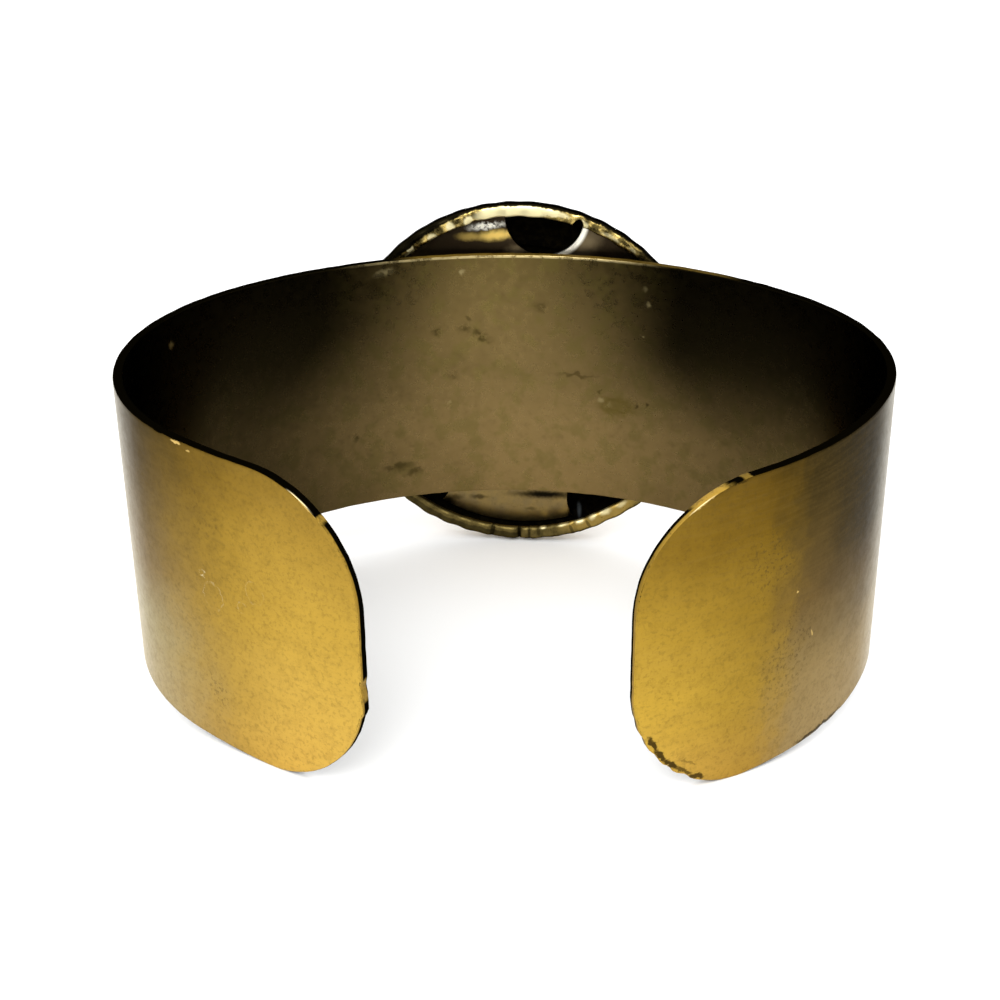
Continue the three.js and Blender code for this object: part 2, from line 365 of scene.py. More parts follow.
band = bmesh.new()
bmesh.ops.create_grid(band, x_segments=BLANK_COLUMNS, y_segments=BLANK_ROWS, size=1.0)
for vert in band.verts:
    side = -1 if vert.co.x < 0 else 1
    distance = blank_distance(side, abs(vert.co.x))
    height = blank_height(half_height(side, distance), vert.co.y)
    vert.co = (side * distance, 0.0, height)
print("the blank has", len(band.faces), "faces")

# %% [markdown]
# ## The band: thickness
#
# Solidify gives the blank its thickness. It moves the new sheet along the normals, which are
# worked out first, because the blank's points were moved by hand. It comes before the knocks in
# the rim, so that both sheets are still ruled evenly when it runs.

# %% Thickness
band.normal_update()
bmesh.ops.solidify(band, geom=band.faces[:], thickness=BAND_THICKNESS)
bmesh.ops.recalc_face_normals(band, faces=band.faces[:])
offsets = [vert.co.y for vert in band.verts]
bmesh.ops.translate(band, verts=band.verts[:], vec=(0, -(min(offsets) + max(offsets)) / 2, 0))
print("thickness, mm:", round(max(offsets) - min(offsets), 3))

# %% [markdown]
# ## The band: knocks in its rim
#
# The rim has been knocked, most of all round the lower corner of the right arm. Each knock is a
# row of a table: where it is on the flat blank, how far it reaches, and how deep it goes. A
# negative depth is a burr, where metal stands out. The points near it are pushed straight in
# from the rim, and a little noise keeps the rest of the rim from being perfectly even.

# %% Knock the rim
RIM_KNOCKS = [
    (-85.5, -4.6, 0.9, -0.24),
    (-85.5, -2.7, 0.8, 0.16),
    (80.6, -5.4, 0.7, 0.14),
    (80, -7, 0.8, 0.2),
    (79.2, -8.6, 0.7, 0.24),
    (78.2, -9.9, 0.6, 0.18),
    (77, -11.2, 0.8, 0.2),
    (62, -12.7, 0.8, 0.12),
    (59.5, -12.7, 0.5, 0.1),
    (-66.5, 12.7, 0.7, 0.1),
]
WAVER = 0.035
WAVER_REACH = 1.0
WAVER_SCALE = 0.9
WAVER_SEED = 3.0


def inwards(s, z):
    """The way from a point straight in from the rim, and how far the point is from the rim."""
    side = -1 if s < 0 else 1
    inner = BENDS[side]["length"] - END_RADIUS
    limit = BAND_HEIGHT / 2 - END_RADIUS
    target = Vector((math.copysign(min(abs(s), inner), s), 0.0, max(-limit, min(limit, z))))
    away = target - Vector((s, 0.0, z))
    return away.normalized(), END_RADIUS - away.length


for vert in band.verts:
    s, z = vert.co.x, vert.co.z
    way, depth_in = inwards(s, z)
    waver = noise.noise(Vector((s * WAVER_SCALE, z * WAVER_SCALE, WAVER_SEED)))
    push = WAVER * waver * max(0.0, 1 - depth_in / WAVER_REACH)
    for at_s, at_z, reach, depth in RIM_KNOCKS:
        near = ((s - at_s) ** 2 + (z - at_z) ** 2) / reach**2
        push += depth * max(0.0, 1 - near) ** 2
    vert.co += way * push
print("knocks in the rim:", len(RIM_KNOCKS))

# %% [markdown]
# ## The band: soft rims and the flat coordinate
#
# The rims of real sheet are never razor sharp, so a small bevel breaks them, which is also what
# makes them catch the light. Before the strip is bent, every point keeps its place on the flat
# blank in an attribute, in millimetres. All wear is drawn with it, and follows the metal round
# the bends.

# %% Broken rims and the flat coordinate
RIM_BREAK = 0.12
RIM_TURN = 0.5
SHEET_FACING = 0.75
OUTSIDE, INSIDE, RIM = 0, 1, 2


def bevel(bm, edges, size, segments, clamp=False):
    settings = {"affect": "EDGES", "profile": 0.5, "material": -1, "clamp_overlap": clamp}
    bmesh.ops.bevel(bm, geom=edges, offset=size, segments=segments, **settings)


def is_rim(edge):
    """Whether a face of the sheet and its cut side meet at the edge."""
    facing = [abs(face.normal.y) for face in edge.link_faces]
    return len(facing) == 2 and abs(facing[0] - facing[1]) > RIM_TURN


band.normal_update()
rims = [edge for edge in band.edges if is_rim(edge)]
bevel(band, rims, RIM_BREAK, 2)
band.normal_update()
for face in band.faces:
    if abs(face.normal.y) < SHEET_FACING:
        face.material_index = RIM
    else:
        face.material_index = OUTSIDE if face.normal.y > 0 else INSIDE
flat_place = band.verts.layers.float_vector.new("flat_place")
for vert in band.verts:
    vert[flat_place] = (vert.co.x, vert.co.z, vert.co.y)
print("rim edges bevelled:", len(rims))

# %% [markdown]
# ## The band: bending it
#
# A jeweller bends such a strip with the fingers over a mandrel. Bent sheet keeps its length, so
# each point walks the same distance along a row of arcs that it had from the middle of the
# blank. The left and the right arm have arcs of their own, because nobody bends both the same.

# %% Bend the strip and lay it down
def place_on(side, distance):
    across, forward, heading = 0.0, -BAND_THICKNESS / 2, 0.0
    left = distance
    for radius, turn in BENDS[side]["bends"]:
        part = min(left / radius, turn)
        end = heading + part
        across += radius * (sin(end) - sin(heading))
        forward += radius * (cos(end) - cos(heading))
        heading = end
        left -= part * radius
    return across, forward, heading


for vert in band.verts:
    s, offset, z = vert.co
    side = -1 if s < 0 else 1
    across, forward, heading = place_on(side, abs(s))
    lift = BENDS[side]["lift"] * BAND_HEIGHT * (s / BENDS[side]["length"]) ** 2
    x = side * (across + offset * sin(heading))
    vert.co = (x, forward + offset * cos(heading), z + lift)
lay_down(band)
print("bent faces:", len(band.faces))

# %% [markdown]
# ## The finish of the band's outer face
#
# The outer face is satin brass. The two ends are bright gold. Further round the brass is duller
# and greyer, with fine dark specks, and fine brush lines run along the strip. Both colours carry
# painted shade, darker towards the top; the duller brass is partly painted reflection, pale at
# the bottom. The right arm has more painted shade and a painted shadow, and the middle is
# lightened with a painted pale glow. All of this is drawn on the flat coordinate.

# %% Outer face
# Gold by height, from the bottom up: darker towards the top as painted shade.
GOLD_WITH_PAINTED_SHADE = [
    (0.05, 206, 171, 82),
    (0.3, 194, 160, 72),
    (0.55, 180, 147, 60),
    (0.85, 148, 118, 46),
    (1, 128, 101, 38),
]
# The duller brass by height, pale at the bottom and dark at the top: partly its own tone, partly
# painted reflection and painted shade.
DULL_WITH_PAINTED_REFLECTION = [
    (0.05, 174, 156, 114),
    (0.25, 158, 144, 104),
    (0.5, 122, 102, 64),
    (0.85, 80, 66, 40),
    (1, 58, 48, 26),
]
# Multipliers by height that darken the right arm's duller brass: painted shade.
RIGHT_DULL_SHADE = [
    (0.05, 230, 220, 200),
    (0.25, 224, 208, 180),
    (0.5, 216, 206, 180),
    (0.85, 212, 206, 170),
    (1, 200, 194, 160),
]
# Multipliers by height that darken the right arm's gold: painted shade.
RIGHT_GOLD_SHADE = [
    (0.1, 246, 242, 230),
    (0.3, 242, 240, 208),
    (0.5, 234, 232, 212),
    (0.85, 214, 210, 184),
    (1, 206, 202, 190),
]
# Darkens the gold away from the very ends: painted shade.
GOLD_SHADE = rgb(214, 211, 198)
# The colour of a painted shadow on the right arm.
SHADOWED = rgb(38, 32, 18)
DUST = rgb(126, 104, 58)
SPECK = rgb(78, 62, 30)
PALE = rgb(226, 214, 176)
CHIP_GOLD = rgb(216, 184, 110)
GRIME = rgb(58, 44, 16)
# A pale colour that lightens the middle of the strip: a painted pale glow.
PAINTED_PALE_GLOW = rgb(216, 208, 186)
# A zone is where on the strip, in millimetres, a share starts and where it is full.
LEFT_GOLD, RIGHT_GOLD = (-61.0, -75.0), (65.5, 71.5)
UNSHADED_GOLD = (81.0, 69.0)
SHADOW_ZONES = (69.0, 57.0), (40.0, 52.0)
PALE_GLOW_ZONES = (-63.0, -53.0), (57.5, 48.0)
TINTED_ZONES = (-55.0, -64.0), (50.0, 56.0)

CHIPS = [
    ((-68.8, 12.5), (0.7, 0.16), 0.8),
    ((-70.2, 12.2), (0.3, 0.12), 0.5),
    ((64.8, -2.8), (0.1, 0.4), 0.5, -20),
    ((67, 1.6), (0.14, 0.14), 0.6),
    ((76.6, 11.35), (2.4, 0.12), 0.6, -29),
    ((-82, 10.75), (2.6, 0.13), 0.6, 37),
    ((78.6, -9.9), (0.5, 0.14), 0.5, -35),
]
CURLS = [
    ((-70.5, 2.2), 0.3, 0.5),
    ((-74.8, 0.7), 0.5, 0.14),
    ((-71.6, 0.6), 1.1, 0.16),
    ((-76.2, 2.4), 0.9, 0.1),
]
CURL_WIDTH = 0.075
NICK_GRIME = [
    ((79.6, -7.6), (1, 0.3), 0.95, 58),
    ((79, -8.7), (0.9, 0.3), 0.95, 50),
    ((78.1, -9.7), (1.1, 0.34), 0.95, 42),
    ((77, -10.6), (1, 0.2), 0.8, 32),
    ((75.9, -11.4), (0.9, 0.26), 0.9, 22),
    ((76.6, -9.9), (0.9, 0.14), 0.4, 30),
    ((62.5, -12.45), (4.2, 0.24), 0.95),
    ((73.4, 12.5), (0.8, 0.2), 0.8),
]
DIRTY = [
    ((70, 5), (4.5, 6), 1),
    ((67.5, -3.5), (6, 8.5), 1),
    ((-71, 7), (4, 4), 0.6),
    ((-71, -8), (3, 3), 0.7),
]

outer = Finish("satin brass", metallic=1.0, roughness=0.4)
flat = outer.place("flat_place")
ragged = outer.wobble(outer.wobble(flat, 0.35, 5.0), 1.4, 2.4)
along = outer.part(ragged, 0)
height = outer.part(flat, 1)
from_middle = outer.calc("ABSOLUTE", along)
gold_share = outer.most(outer.share(along, *RIGHT_GOLD), outer.share(along, *LEFT_GOLD))
brush = outer.noise(outer.stretch(flat, (0.22, 4.0, 1.0)), 1.0, 3.0)
specks = outer.noise(flat, 2.8, 4.0, 0.7)
mottle = outer.noise(flat, 1.3, 5.0, 0.75)
clouds = outer.noise(outer.stretch(flat, (0.12, 0.2, 1.0)), 1.0, 4.0)
dirt = outer.most(outer.spots(ragged, DIRTY, 0.95), 0.32)
speck_share = outer.times(outer.share(specks, 0.51, 0.63), dirt)
linear_level = outer.calc("ADD", outer.calc("DIVIDE", height, BAND_HEIGHT), 0.5)
level = outer.calc("ADD", linear_level, outer.share(clouds, 0.2, 0.8, -0.05, 0.05))
on_right = outer.share(along, -5.0, 5.0)
# The gold and the duller brass carry painted shade: darker towards the top, darker on the right
# arm and, for the gold, darker away from the ends.
gold = outer.levels(level, GOLD_WITH_PAINTED_SHADE)
gold = outer.mix(on_right, gold, outer.levels(level, RIGHT_GOLD_SHADE), "MULTIPLY")
gold = outer.mix(outer.share(from_middle, *UNSHADED_GOLD), gold, GOLD_SHADE, "MULTIPLY")
dull_and_reflection = outer.levels(level, DULL_WITH_PAINTED_REFLECTION)
dull_and_reflection = outer.mix(on_right, dull_and_reflection, outer.levels(level, RIGHT_DULL_SHADE), "MULTIPLY")
# A painted shadow on the right arm, between the middle and the gold end, strongest towards the
# top.
painted_shadow = outer.times(*(outer.share(along, *zone) for zone in SHADOW_ZONES))
painted_shadow = outer.times(painted_shadow, outer.share(level, 0.15, 0.75, 0.0, 0.9))
dull_and_reflection = outer.mix(painted_shadow, dull_and_reflection, SHADOWED)
strip = outer.part(flat, 0)
# The middle of the strip is lightened with a painted pale glow, like the pale glow along its
# outline.
pale_glow = outer.times(*(outer.share(strip, *zone) for zone in PALE_GLOW_ZONES))
dull_and_reflection = outer.mix(outer.times(pale_glow, 0.45), dull_and_reflection, PAINTED_PALE_GLOW)
outer.base = outer.mix(gold_share, dull_and_reflection, gold)
outer.layer(outer.times(speck_share, 0.7), SPECK)
outer.layer(outer.share(brush, 0.35, 0.75, 0.0, 0.09), DUST)
outer.layer(outer.share(mottle, 0.46, 0.70, 0.0, 0.17), SPECK)
torn = outer.wobble(flat, 2.2, 0.7)
curls = outer.times(outer.loops(torn, CURLS, CURL_WIDTH), outer.share(mottle, 0.46, 0.56))
outer.layer(curls, PALE)
outer.layer(outer.spots(torn, NICK_GRIME), GRIME)
outer.layer(outer.spots(outer.wobble(flat, 3.0, 0.25), CHIPS), CHIP_GOLD)
roughness = outer.share(mottle, 0.3, 0.7, 0.36, 0.46)
outer.bump(brush, 0.00002, 0.08)
tinted = outer.most(*(outer.share(strip, *zone) for zone in TINTED_ZONES))
outer.tint_edges(outer.times(outer.share(height, -8.0, 8.0, 0.30, 0.48), tinted))
satin_brass = outer.done(roughness)

# %% [markdown]
# ## The finish of the band's inner face
#
# The inside has lain against skin and has gone brown. It is smoother than the outside, so it
# mirrors the pale floor in its middle and its own dark sides further round. Its brown is painted
# darker towards the top, painted shade darkens it to near black towards the sides, and a thin
# painted highlight runs along its top rim in the middle. Dark blots, a stain like a ring and a
# few pale smears sit on it, each at its own place on the flat strip.

# %% Inner face
# Brown by height, from the bottom up: lighter at the bottom and darker towards the top as painted
# shade.
BROWN_WITH_PAINTED_SHADE = [
    (0.05, 130, 108, 67),
    (0.3, 131, 109, 68),
    (0.5, 121, 101, 62),
    (0.85, 107, 90, 53),
    (1, 95, 80, 44),
]
BROWN_DARK = rgb(96, 80, 46)
# Painted shade towards the sides of the inside, and near-black painted shade furthest round.
SIDE_PAINTED_SHADE = rgb(19, 16, 7)
DEEPEST_PAINTED_SHADE = rgb(4, 4, 1)
LEAST_SHADED_MIDDLE = -2.7
# Painted shade darkens the inside towards its sides. Each has a row for the left side and one
# for the right: (from height, to height, value at the first, value at the second).
SIDE_SHADE_START = (-3.0, 6.0, -2.5, 4.8), (-4.0, 6.0, 5.0, 8.0)
SIDE_SHADE_WIDTH = (-4.0, 7.0, 31.5, 14.5), (-5.0, 5.0, 22.0, 10.5)
SIDE_SHADE_STRENGTH = (-3.0, 6.0, 0.86, 0.965), (-7.0, 6.0, 0.5, 0.965)
DEEPEST_SHADE_ZONE = (36.0, 46.0)
BLOT = rgb(64, 53, 24)
STAIN = rgb(97, 83, 34)
SMEAR = rgb(176, 160, 112)

DARK_BLOTS = [
    ((-9.4, 5), (0.9, 0.7), 0.8, 15),
    ((-6.7, 5.2), (1.1, 0.7), 0.7, -10),
    ((-5, 4.4), (1.5, 0.8), 0.9, -40),
    ((-6.3, 6.2), (0.7, 0.4), 0.6, -30),
    ((-8, 0.3), (0.8, 0.7), 0.6),
    ((1, 7.5), (1, 0.7), 0.6, 10),
    ((-13.8, -9.2), (2.6, 0.6), 0.75),
    ((-12.2, -9.9), (1.5, 0.6), 0.7, 10),
    ((-18.2, -5.2), (0.6, 0.5), 0.7),
    ((4.6, 0.4), (3.6, 0.26), 0.6),
    ((11, -2.1), (0.4, 0.4), 0.9),
    ((12.2, -1.8), (0.3, 0.3), 0.9),
    ((7.3, -1), (0.5, 0.2), 0.7, 40),
    ((-15.4, 10.2), (1.2, 1.4), 0.6),
]
PALE_SMEARS = [
    ((-14.5, 11.6), (1.5, 0.6), 0.75, 10),
    ((-14.9, 11.5), (0.5, 0.35), 0.9),
    ((-6.8, 11.1), (0.5, 0.35), 0.5),
    ((-39.5, 10.1), (0.7, 0.5), 0.6),
    ((11.6, 10.2), (0.35, 0.45), 0.35),
    ((12, 8.6), (0.45, 0.4), 0.55),
    ((11.5, 5.3), (0.25, 0.25), 0.5),
    ((7.3, -2), (0.6, 0.4), 0.4, 20),
    ((8, -2.5), (0.5, 0.3), 0.3, 30),
    ((-8.4, -2.6), (0.3, 0.25), 0.35),
]
RING_STAIN = ((9.0, -2.5), (2.8, 1.5))
RING_HEART = (1.5, 0.6)
# Where a thin painted highlight runs along the top rim, in the middle of the inside.
HIGHLIGHT_ROW = (12.38, 12.5)
HIGHLIGHT_ZONE = (17.0, 9.0)
GREEN_BROWN = rgb(104, 93, 46)
TOP_RIM_PAINTED_HIGHLIGHT = rgb(186, 168, 118)

inner = Finish("tarnished brass", metallic=1.0, roughness=0.3)
flat = inner.place("flat_place")
ragged = inner.wobble(flat, 1.6, 0.9)
clouds = inner.noise(inner.stretch(flat, (0.16, 0.22, 1.0)), 1.0, 5.0, 0.6)
mottle = inner.noise(flat, 1.3, 2.0, 0.5)
height = inner.part(ragged, 1)
from_middle = inner.calc("ABSOLUTE", inner.calc("SUBTRACT", inner.part(ragged, 0), LEAST_SHADED_MIDDLE))
on_right = inner.share(inner.part(ragged, 0), -6.0, 6.0)


def on_both(rows):
    left_value, right_value = (inner.share(height, *row) for row in rows)
    step = inner.times(on_right, inner.calc("SUBTRACT", right_value, left_value))
    return inner.calc("ADD", left_value, step)


# Painted shade that grows towards the sides.
past_start = inner.calc("SUBTRACT", from_middle, on_both(SIDE_SHADE_START))
past_start = inner.calc("DIVIDE", past_start, on_both(SIDE_SHADE_WIDTH))
side_shade = inner.times(inner.share(past_start, 0.0, 1.0), on_both(SIDE_SHADE_STRENGTH))
level = inner.calc("ADD", inner.calc("DIVIDE", height, BAND_HEIGHT), 0.5)
inner.base = inner.levels(level, BROWN_WITH_PAINTED_SHADE)
inner.layer(inner.share(clouds, 0.45, 0.75, 0.0, 0.35), BROWN_DARK)
inner.layer(inner.share(mottle, 0.55, 0.8, 0.0, 0.3), BROWN_DARK)
hue = inner.noise(flat, 0.45, 4.0, 0.6)
inner.layer(inner.share(hue, 0.48, 0.62, 0.0, 0.42), GREEN_BROWN)
torn = inner.wobble(ragged, 0.9, 1.3)
stain = inner.spot(torn, *RING_STAIN, 0.0, 0.7)
heart = inner.spot(torn, RING_STAIN[0], RING_HEART, 0.0, 0.5)
ring = inner.calc("SUBTRACT", stain, inner.times(heart, 0.35))
patchy = inner.share(mottle, 0.34, 0.52, 0.35, 1.0)
inner.layer(inner.times(ring, 0.8), STAIN)
inner.layer(inner.times(inner.spots(torn, DARK_BLOTS, 0.9), patchy), BLOT)
# Painted shade towards the sides, near black furthest round.
inner.layer(side_shade, SIDE_PAINTED_SHADE)
inner.layer(inner.share(from_middle, *DEEPEST_SHADE_ZONE), DEEPEST_PAINTED_SHADE)
inner.layer(inner.times(inner.spots(ragged, PALE_SMEARS, 0.9), patchy), SMEAR)
# A thin painted highlight along the top rim in the middle of the inside.
at_edge = inner.share(inner.part(flat, 1), *HIGHLIGHT_ROW)
top_rim_highlight = inner.times(at_edge, inner.share(from_middle, *HIGHLIGHT_ZONE))
inner.layer(inner.times(top_rim_highlight, patchy), TOP_RIM_PAINTED_HIGHLIGHT)
roughness = inner.share(mottle, 0.3, 0.8, 0.26, 0.38)
inner.bump(hue, 0.00002, 0.2)
inner.tint_edges(0.5)
tarnished_brass = inner.done(roughness)

# %% [markdown]
# ## The finish of the cut rim
#
# The rim kept the saw's roughness and is painted almost black, with no reflection, as painted
# shade. Where it is rubbed, round the corners of the two ends, bright brass shows again, and a
# near-white painted highlight runs along the outer broken edge at the two top corners.

# %% Cut rim
# Painted shade: almost black, with no reflection.
RIM_PAINTED_SHADE = rgb(4, 3, 1)
RIM_GOLD = rgb(176, 142, 58)
RIM_PAINTED_HIGHLIGHT = rgb(250, 232, 180)
FILED_FROM = 73.6
LEFT_FILED_FROM = -82.5
FILED_FADE = 1.5
FILED_STRENGTH = 0.85
RUBBED = [
    ((75.6, 11.6), (2.2, 1.6), 1, 20),
    ((72.7, 12.7), (0.45, 0.8), 0.4),
    ((-83.1, 10.4), (0.55, 0.8), 0.9, 40),
    ((-85.6, -3), (0.9, 1.1), 0.8),
    ((-24, -12.7), (1.2, 0.6), 0.8),
    ((-1, 12.7), (13, 2), 0.4),
    ((14, 12.7), (8, 2), 0.15),
]
# Near-white painted highlights along the outer broken edge at the two top corners.
RIM_HIGHLIGHT_SPOTS = [
    ((-81.4, 11.5), (3.4, 1.3), 1, -35),
    ((76.4, 11.4), (2.6, 1.2), 0.9, 25),
]

cut = Finish("cut rim", metallic=0.0, roughness=0.6)
cut.shader.inputs["Specular IOR Level"].default_value = 0.0
flat = cut.place("flat_place")
ragged = cut.wobble(flat, 1.5, 0.6)
grain = cut.noise(flat, 2.2, 4.0, 0.7)
offset = cut.part(flat, 2)
outer_break = cut.share(offset, 0.26, 0.34)
rubbed = cut.spots(ragged, RUBBED)
strip = cut.part(flat, 0)
right_filed = cut.share(strip, FILED_FROM, FILED_FROM + FILED_FADE)
right_filed = cut.times(right_filed, cut.share(offset, -0.05, 0.1))
left_filed = cut.share(strip, LEFT_FILED_FROM, LEFT_FILED_FROM - FILED_FADE)
left_filed = cut.times(left_filed, cut.share(offset, 0.14, 0.24))
filed = cut.most(right_filed, left_filed)
gold_share = cut.most(rubbed, cut.times(filed, FILED_STRENGTH))
# A painted highlight on the outer broken edge; the metal shows where the rim is rubbed and under
# the highlight.
rim_highlight = cut.times(cut.spots(ragged, RIM_HIGHLIGHT_SPOTS, 0.8), outer_break)
worn_and_highlight = cut.most(gold_share, rim_highlight)
rim_gold = cut.mix(cut.share(grain, 0.5, 0.7, 0.0, 0.6), RIM_GOLD, GRIME)
# The rim is painted almost black as painted shade, with rubbed brass over it.
cut.base = cut.mix(gold_share, RIM_PAINTED_SHADE, rim_gold)
cut.layer(rim_highlight, RIM_PAINTED_HIGHLIGHT)
cut.bump(grain, 0.00004, 0.5)
cut_rim = cut.done(metallic=worn_and_highlight)

# %% The finished band
band_finishes = [satin_brass, tarnished_brass, cut_rim]
finish_piece(band, "brass_band", "cuff_band", band_finishes)

# %% [markdown]
# ## The ornament's shell
#
# The front of the ornament is a shallow dome of thin brass, pressed in a die. Its edge is turned
# over at the back to hold the plate. A pressed round shell is the same all round, so its profile
# is drawn once and spun round the middle. The coarse corners of the profile are then rounded
# with bevels.

# %% Sizes of the ornament
ORNAMENT_RADIUS = 18.3
ORNAMENT_PLACE = Vector((-1.0, 0.0, -0.45))
SHELL_WALL = 0.5
SHOULDER_INSET = 1.6
BORDER_WIDTH = 2.9
DOME_STEP = 0.4
DOME_RISE = 1.8
HEM_WIDTH = 1.2
HEM_DEPTH = 1.15
HEM_SLANT = 0.38
PLATE_BACK = 1.0
PLATE_DEPTH = 1.0
PLATE_RECESS = 1.95
PLATE_THICKNESS = 0.45
CLEARANCE = 0.3

plate_front = PLATE_BACK + PLATE_DEPTH
hem_back = PLATE_BACK - PLATE_RECESS
hem_front = hem_back + HEM_DEPTH
shell_front = plate_front + CLEARANCE + SHELL_WALL
shoulder_radius = ORNAMENT_RADIUS - SHOULDER_INSET
dome_radius = shoulder_radius - BORDER_WIDTH
slope = math.atan2(SHOULDER_INSET, shell_front - hem_front)
wall_across = SHELL_WALL / cos(slope)
lean_at_plate = tan(slope) * (plate_front - hem_front)
gap_across = CLEARANCE / cos(slope)
plate_radius = ORNAMENT_RADIUS - lean_at_plate - wall_across - gap_across
plate_flare = tan(slope) * PLATE_DEPTH
print("plate radius, mm:", round(plate_radius, 2), "flaring by", round(plate_flare, 2))


# %% Spin a profile round the ornament's middle
SAME_PLACE = 1e-4


def spun(profile, steps):
    """A bmesh turned round the Y axis from profile points (radius, forward)."""
    bm = bmesh.new()
    verts = [bm.verts.new((radius, forward, 0.0)) for radius, forward in profile]
    for pair in zip(verts, verts[1:]):
        bm.edges.new(pair)
    about = {"cent": (0, 0, 0), "axis": (0, 1, 0), "angle": math.tau, "steps": steps}
    bmesh.ops.spin(bm, geom=bm.verts[:] + bm.edges[:], use_merge=True, **about)
    bmesh.ops.remove_doubles(bm, verts=bm.verts[:], dist=SAME_PLACE)
    bmesh.ops.dissolve_degenerate(bm, edges=bm.edges[:], dist=SAME_PLACE)
    bmesh.ops.recalc_face_normals(bm, faces=bm.faces[:])
    return bm


# %% The shell's profile
DOME_POINTS = 10
SHELL_STEPS = 480


def dome_line(radius, forward):
    shares = [step / DOME_POINTS for step in range(DOME_POINTS + 1)]
    return [(radius * share, forward + DOME_RISE * (1 - share * share)) for share in shares]


shoulder_inside = shoulder_radius - wall_across + tan(slope) * SHELL_WALL
profile = [
    *dome_line(dome_radius, shell_front + DOME_STEP),
    (dome_radius, shell_front),
    (shoulder_radius, shell_front),
    (ORNAMENT_RADIUS, hem_front),
    (ORNAMENT_RADIUS, hem_back),
    (ORNAMENT_RADIUS - HEM_WIDTH, hem_back),
    (ORNAMENT_RADIUS - HEM_WIDTH, hem_front - HEM_SLANT),
    (ORNAMENT_RADIUS - wall_across, hem_front),
    (shoulder_inside, shell_front - SHELL_WALL),
    (dome_radius - SHELL_WALL, shell_front - SHELL_WALL),
    *reversed(dome_line(dome_radius - SHELL_WALL, shell_front + DOME_STEP - SHELL_WALL)),
]
shell = spun(profile, SHELL_STEPS)


# %% Round the hem and the shoulder
HEM_ROUNDING = 0.45
SHOULDER_ROUNDING = 0.25
DOME_ROUNDING = 0.12
CORNER_REACH = 1e-3


def round_ring(bm, radius, forward, size, segments):
    """Bevels the edges that run round the ornament at one corner of the profile."""

    def at_corner(vert):
        off_radius = abs(hypot(vert.co.x, vert.co.z) - radius)
        return max(off_radius, abs(vert.co.y - forward)) < CORNER_REACH

    edges = [edge for edge in bm.edges if all(map(at_corner, edge.verts))]
    bevel(bm, edges, size, segments)
    return len(edges)


rounded = [
    round_ring(shell, ORNAMENT_RADIUS, hem_back, HEM_ROUNDING, 5),
    round_ring(shell, ORNAMENT_RADIUS - HEM_WIDTH, hem_back, HEM_ROUNDING, 5),
    round_ring(shell, shoulder_radius, shell_front, SHOULDER_ROUNDING, 3),
    round_ring(shell, dome_radius, shell_front + DOME_STEP, DOME_ROUNDING, 2),
]
print("edges in the rounded rings:", rounded)

# %% [markdown]
# ## The turned-over edge
#
# A hand tool closed the edge press by press, so it isn't even: shallow presses run round it, the
# lip is wider over one stretch with a sudden step, there is a nick, and the lowest part has been
# pressed flat, with sharp creases. The points of the hem are moved by their angle, clockwise
# from the top as the wrist sees it.

# %% Press the hem
PRESS_COUNT = 48
PRESS_DEPTH = 0.14
PRESS_SHIFT = 4.0
PRESS_MEAN, PRESS_SPREAD = 0.75, 0.6
UNEVEN_SCALE, UNEVEN_SEED = 4.0, 1.0
# A row is (angle in degrees, reach in degrees, depth).
FLATS = [(178, 34, 0.26), (147, 10, 0.12)]
CREASES = [
    (190, 1.3, 0.3), (180.7, 1, 0.34), (177.2, 0.7, 0.22), (168.5, 0.9, 0.2),
    (161, 1.1, 0.24),
]
# A row is (angle in degrees, how much further in the lip reaches there).
LIP_WIDTHS = [
    (0, 0.24), (17, 0.24), (24, 0.12), (60, 0), (110, 0.05), (135, 0.42),
    (160, 0.36), (182, 0.3), (215, 0.26), (250, 0), (314, 0), (322, 0.38),
    (343.2, 0.42), (343.9, 0.24), (360, 0.24),
]
NICK = (19.1, 1.5, 0.8)


def degrees_apart(a, b):
    return abs((a - b + 180) % 360 - 180)


def pressed(point):
    radius = hypot(point.x, point.z)
    angle = math.degrees(math.atan2(point.x, point.z)) % 360
    backness = min(1.0, max(0.0, (hem_front - point.y) / HEM_DEPTH))
    inwardness = min(1.0, max(0.0, (ORNAMENT_RADIUS - radius) / HEM_WIDTH))
    turn = radians(angle)
    around = (sin(turn) * UNEVEN_SCALE, cos(turn) * UNEVEN_SCALE, UNEVEN_SEED)
    uneven = PRESS_MEAN + PRESS_SPREAD * noise.noise(Vector(around))
    phase = radians(angle + PRESS_SHIFT) * PRESS_COUNT
    press = PRESS_DEPTH * uneven * (0.5 - 0.5 * cos(phase))
    inward = press / 2 * (1 - 2 * inwardness)
    forward = press * backness
    for middle, reach, depth in FLATS:
        apart = degrees_apart(angle, middle) / reach
        inward += depth * HEM_WIDTH * max(0.0, 1 - apart * apart)
    for middle, reach, depth in CREASES:
        apart = degrees_apart(angle, middle) / reach
        forward += depth * backness * max(0.0, 1 - apart)
    for (start, extra), (stop, next_extra) in zip(LIP_WIDTHS, LIP_WIDTHS[1:]):
        if start <= angle < stop:
            along = (angle - start) / (stop - start)
            inward += (extra + (next_extra - extra) * along) * inwardness * backness
    middle, reach, depth = NICK
    apart = degrees_apart(angle, middle) / reach
    inward -= depth * inwardness * sqrt(max(0.0, 1 - apart * apart))
    return radius - inward, point.y + forward


def mark_place(bm):
    """Keeps each point's place in the upright piece in an attribute, for its finish."""
    place = bm.verts.layers.float_vector.new("ornament_place")
    for vert in bm.verts:
        vert[place] = (vert.co.x, vert.co.z, vert.co.y)


